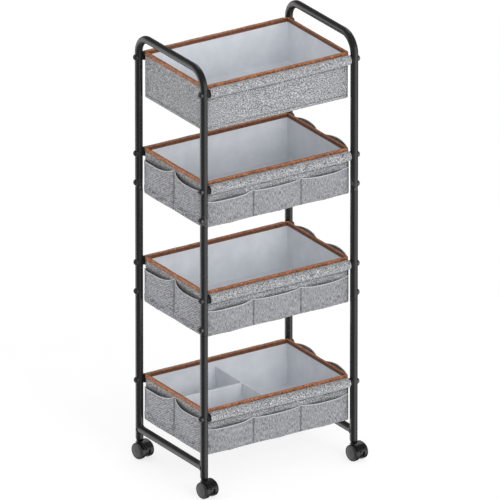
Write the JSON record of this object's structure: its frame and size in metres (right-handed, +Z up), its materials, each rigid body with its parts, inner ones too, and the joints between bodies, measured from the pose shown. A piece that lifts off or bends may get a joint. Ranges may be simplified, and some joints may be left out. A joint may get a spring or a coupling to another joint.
{
  "type": "rolling storage cart",
  "caption": "Narrow upright rolling cart: a bent black tube frame carrying stacked fabric bins with pockets, on twin-wheel swivel casters.",
  "frame": {"origin": "on the floor at the centre of the whole cart's bounding box, casters trailing to the front", "axes": "+Z up; X along the long side, with the rails; -Y is the front, where the row of three pockets is"},
  "size_m": [0.397, 0.2838, 0.9303],
  "materials": {
    "black_tube": "semi-gloss black powder coat",
    "black_bolt": "black oxide, slightly glossy",
    "grey_felt": "mottled grey felt, matte",
    "brown_binding": "orange-brown imitation leather",
    "bright_steel": "zinc plated",
    "caster_nylon": "moulded black nylon",
    "wheel_plastic": "moulded black plastic, slightly glossy"
  },
  "bodies": {
    "cart": {"left_arch": "black_tube", "left_base_frame": "black_tube", "front_left_post": "black_tube", "back_left_post": "black_tube", "right_arch": "black_tube", "right_base_frame": "black_tube", "front_right_post": "black_tube", "back_right_post": "black_tube", "rail_1_front": "black_tube", "bolt_1_front_left": "black_bolt", "bolt_1_front_right": "black_bolt", "rail_1_back": "black_tube", "bolt_1_back_left": "black_bolt", "bolt_1_back_right": "black_bolt", "bin_1": "grey_felt", "bin_1_rim": "brown_binding", "rail_2_front": "black_tube", "bolt_2_front_left": "black_bolt", "bolt_2_front_right": "black_bolt", "rail_2_back": "black_tube", "bolt_2_back_left": "black_bolt", "bolt_2_back_right": "black_bolt", "bin_2": "grey_felt", "bin_2_rim": "brown_binding", "rail_3_front": "black_tube", "bolt_3_front_left": "black_bolt", "bolt_3_front_right": "black_bolt", "rail_3_back": "black_tube", "bolt_3_back_left": "black_bolt", "bolt_3_back_right": "black_bolt", "bin_3": "grey_felt", "bin_3_rim": "brown_binding", "rail_4_front": "black_tube", "bolt_4_front_left": "black_bolt", "bolt_4_front_right": "black_bolt", "rail_4_back": "black_tube", "bolt_4_back_left": "black_bolt", "bolt_4_back_right": "black_bolt", "bin_4": "grey_felt", "bin_4_rim": "brown_binding", "stem_front_left": "bright_steel", "stem_back_left": "bright_steel", "stem_front_right": "bright_steel", "stem_back_right": "bright_steel"},
    "caster_front_left": {"caster_body_front_left": "caster_nylon", "axle_front_left": "bright_steel"},
    "wheel_front_left_left": {"wheel_front_left_left": "wheel_plastic"},
    "wheel_front_left_right": {"wheel_front_left_right": "wheel_plastic"},
    "caster_back_left": {"caster_body_back_left": "caster_nylon", "axle_back_left": "bright_steel"},
    "wheel_back_left_left": {"wheel_back_left_left": "wheel_plastic"},
    "wheel_back_left_right": {"wheel_back_left_right": "wheel_plastic"},
    "caster_front_right": {"caster_body_front_right": "caster_nylon", "axle_front_right": "bright_steel"},
    "wheel_front_right_left": {"wheel_front_right_left": "wheel_plastic"},
    "wheel_front_right_right": {"wheel_front_right_right": "wheel_plastic"},
    "caster_back_right": {"caster_body_back_right": "caster_nylon", "axle_back_right": "bright_steel"},
    "wheel_back_right_left": {"wheel_back_right_left": "wheel_plastic"},
    "wheel_back_right_right": {"wheel_back_right_right": "wheel_plastic"}
  },
  "joints": [
    {"name": "swivel_front_left", "type": "hinge", "parent": "cart", "child": "caster_front_left", "pos_m": [-0.1819, -0.11206, 0.03], "axis": [0, 0, 1], "continuous": true},
    {"name": "roll_front_left_left", "type": "hinge", "parent": "caster_front_left", "child": "wheel_front_left_left", "pos_m": [-0.19103, -0.12362, 0.0176], "axis": [0.9848, 0.1736, 0], "continuous": true},
    {"name": "roll_front_left_right", "type": "hinge", "parent": "caster_front_left", "child": "wheel_front_left_right", "pos_m": [-0.16937, -0.1198, 0.0176], "axis": [0.9848, 0.1736, 0], "continuous": true},
    {"name": "swivel_back_left", "type": "hinge", "parent": "cart", "child": "caster_back_left", "pos_m": [-0.1819, 0.13194, 0.03], "axis": [0, 0, 1], "continuous": true},
    {"name": "roll_back_left_left", "type": "hinge", "parent": "caster_back_left", "child": "wheel_back_left_left", "pos_m": [-0.19103, 0.12038, 0.0176], "axis": [0.9848, 0.1736, 0], "continuous": true},
    {"name": "roll_back_left_right", "type": "hinge", "parent": "caster_back_left", "child": "wheel_back_left_right", "pos_m": [-0.16937, 0.1242, 0.0176], "axis": [0.9848, 0.1736, 0], "continuous": true},
    {"name": "swivel_front_right", "type": "hinge", "parent": "cart", "child": "caster_front_right", "pos_m": [0.1785, -0.11206, 0.03], "axis": [0, 0, 1], "continuous": true},
    {"name": "roll_front_right_left", "type": "hinge", "parent": "caster_front_right", "child": "wheel_front_right_left", "pos_m": [0.16937, -0.12362, 0.0176], "axis": [0.9848, 0.1736, 0], "continuous": true},
    {"name": "roll_front_right_right", "type": "hinge", "parent": "caster_front_right", "child": "wheel_front_right_right", "pos_m": [0.19103, -0.1198, 0.0176], "axis": [0.9848, 0.1736, 0], "continuous": true},
    {"name": "swivel_back_right", "type": "hinge", "parent": "cart", "child": "caster_back_right", "pos_m": [0.1785, 0.13194, 0.03], "axis": [0, 0, 1], "continuous": true},
    {"name": "roll_back_right_left", "type": "hinge", "parent": "caster_back_right", "child": "wheel_back_right_left", "pos_m": [0.16937, 0.12038, 0.0176], "axis": [0.9848, 0.1736, 0], "continuous": true},
    {"name": "roll_back_right_right", "type": "hinge", "parent": "caster_back_right", "child": "wheel_back_right_right", "pos_m": [0.19103, 0.1242, 0.0176], "axis": [0.9848, 0.1736, 0], "continuous": true}
  ]
}
